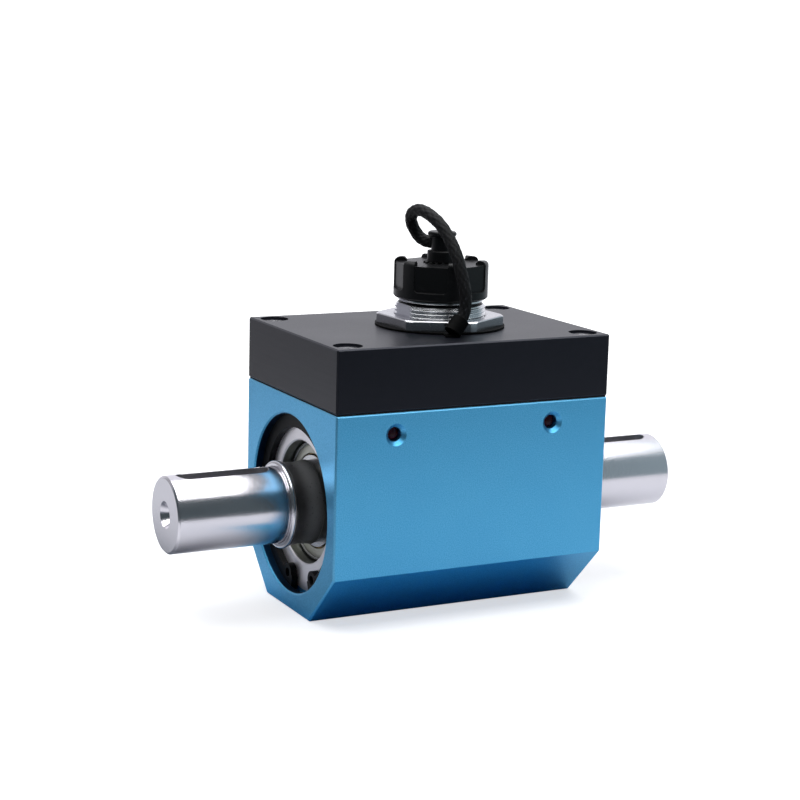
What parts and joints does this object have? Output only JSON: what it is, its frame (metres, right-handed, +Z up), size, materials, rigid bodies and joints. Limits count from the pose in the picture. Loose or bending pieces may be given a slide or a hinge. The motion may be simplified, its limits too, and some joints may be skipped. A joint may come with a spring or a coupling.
{
  "type": "rotary torque sensor",
  "caption": "Inline rotary torque sensor: square blue housing with a black top cover, keyed through shaft in shielded bearings, and a panel connector with a tethered screw-on dust cap.",
  "frame": {"origin": "middle of the flat base, under the shaft axis", "axes": "+X along the shaft, +Y to the back (the lamps are on the -Y face), +Z up"},
  "size_m": [0.1466, 0.056, 0.1052],
  "materials": {
    "blue_anodised": "satin anodised",
    "black_anodised": "satin anodised",
    "gasket_rubber": "matte",
    "screw_steel": "bright zinc",
    "lamp_red": "unlit dark red lens",
    "carrier_aluminium": "turned",
    "clip_steel": "phosphated",
    "bearing_steel": "ground",
    "shield_steel": "pressed",
    "cage_brass": "plain",
    "ball_steel": "polished",
    "shaft_steel": "turned and ground",
    "sleeve_black": "moulded",
    "collar_steel": "polished",
    "ferrite": "sintered",
    "copper": "enamelled winding",
    "board_green": "solder mask",
    "gauge_foil": "foil on film",
    "part_black": "moulded",
    "shell_nickel": "nickel plated",
    "nut_nickel": "nickel plated",
    "pin_gold": "gold plated",
    "lug_black": "black oxide",
    "cord_black": "braided",
    "cap_black": "moulded"
  },
  "bodies": {
    "housing_body": {"housing": "blue_anodised", "cover_gasket": "gasket_rubber", "top_cover": "black_anodised", "cover_screws": "screw_steel", "indicator_lamps": "lamp_red", "bearing_carrier_left": "carrier_aluminium", "bearing_carrier_right": "carrier_aluminium", "circlip_left": "clip_steel", "circlip_right": "clip_steel", "bearing_outer_ring_left": "bearing_steel", "bearing_outer_ring_right": "bearing_steel", "bearing_shields_left": "shield_steel", "bearing_shields_right": "shield_steel", "stator_tube": "carrier_aluminium", "stator_cores": "ferrite", "stator_coils": "copper", "stator_leads": "copper", "circuit_board": "board_green", "board_spacers": "cage_brass", "board_screws": "screw_steel", "board_parts": "part_black", "connector_shell": "shell_nickel", "connector_insert": "part_black", "connector_pins": "pin_gold", "connector_nut": "nut_nickel", "tether_lug": "lug_black", "tether_cord": "cord_black"},
    "shaft_body": {"shaft": "shaft_steel", "bearing_inner_ring_left": "bearing_steel", "bearing_inner_ring_right": "bearing_steel", "dust_sleeve_left": "sleeve_black", "dust_sleeve_right": "sleeve_black", "collar_ring_left": "collar_steel", "collar_ring_right": "collar_steel", "rotor_hub": "carrier_aluminium", "rotor_cores": "ferrite", "rotor_coils": "copper", "rotor_board": "board_green", "strain_gauges": "gauge_foil"},
    "cage_left_body": {"ball_cage_left": "cage_brass", "bearing_balls_left": "ball_steel"},
    "cage_right_body": {"ball_cage_right": "cage_brass", "bearing_balls_right": "ball_steel"},
    "stud_body": {"tether_stud": "cap_black"},
    "cap_body": {"dust_cap": "cap_black", "cap_seal": "gasket_rubber"}
  },
  "joints": [
    {"name": "shaft_spin", "type": "hinge", "parent": "housing_body", "child": "shaft_body", "pos_m": [0, 0, 0.0281], "axis": [1, 0, 0], "continuous": true},
    {"name": "cage_left_spin", "type": "hinge", "parent": "housing_body", "child": "cage_left_body", "pos_m": [-0.02875, 0, 0.0281], "axis": [1, 0, 0], "continuous": true},
    {"name": "cage_right_spin", "type": "hinge", "parent": "housing_body", "child": "cage_right_body", "pos_m": [0.02875, 0, 0.0281], "axis": [1, 0, 0], "continuous": true},
    {"name": "cap_lift", "type": "slide", "parent": "housing_body", "child": "stud_body", "axis": [0, 0, 1], "range_m": [0, 0.0045], "deforming": ["tether_cord"]},
    {"name": "cap_turn", "type": "hinge", "parent": "stud_body", "child": "cap_body", "pos_m": [0.0037, 0, 0.0806], "axis": [0, 0, 1], "range_deg": [0, 1080]}
  ],
  "couplings": [
    {"joint": "cage_left_spin", "follows": "shaft_spin", "ratio": 0.4327},
    {"joint": "cage_right_spin", "follows": "shaft_spin", "ratio": 0.4327},
    {"joint": "cap_lift", "follows": "cap_turn", "m_per_rad": 0.00023873}
  ]
}
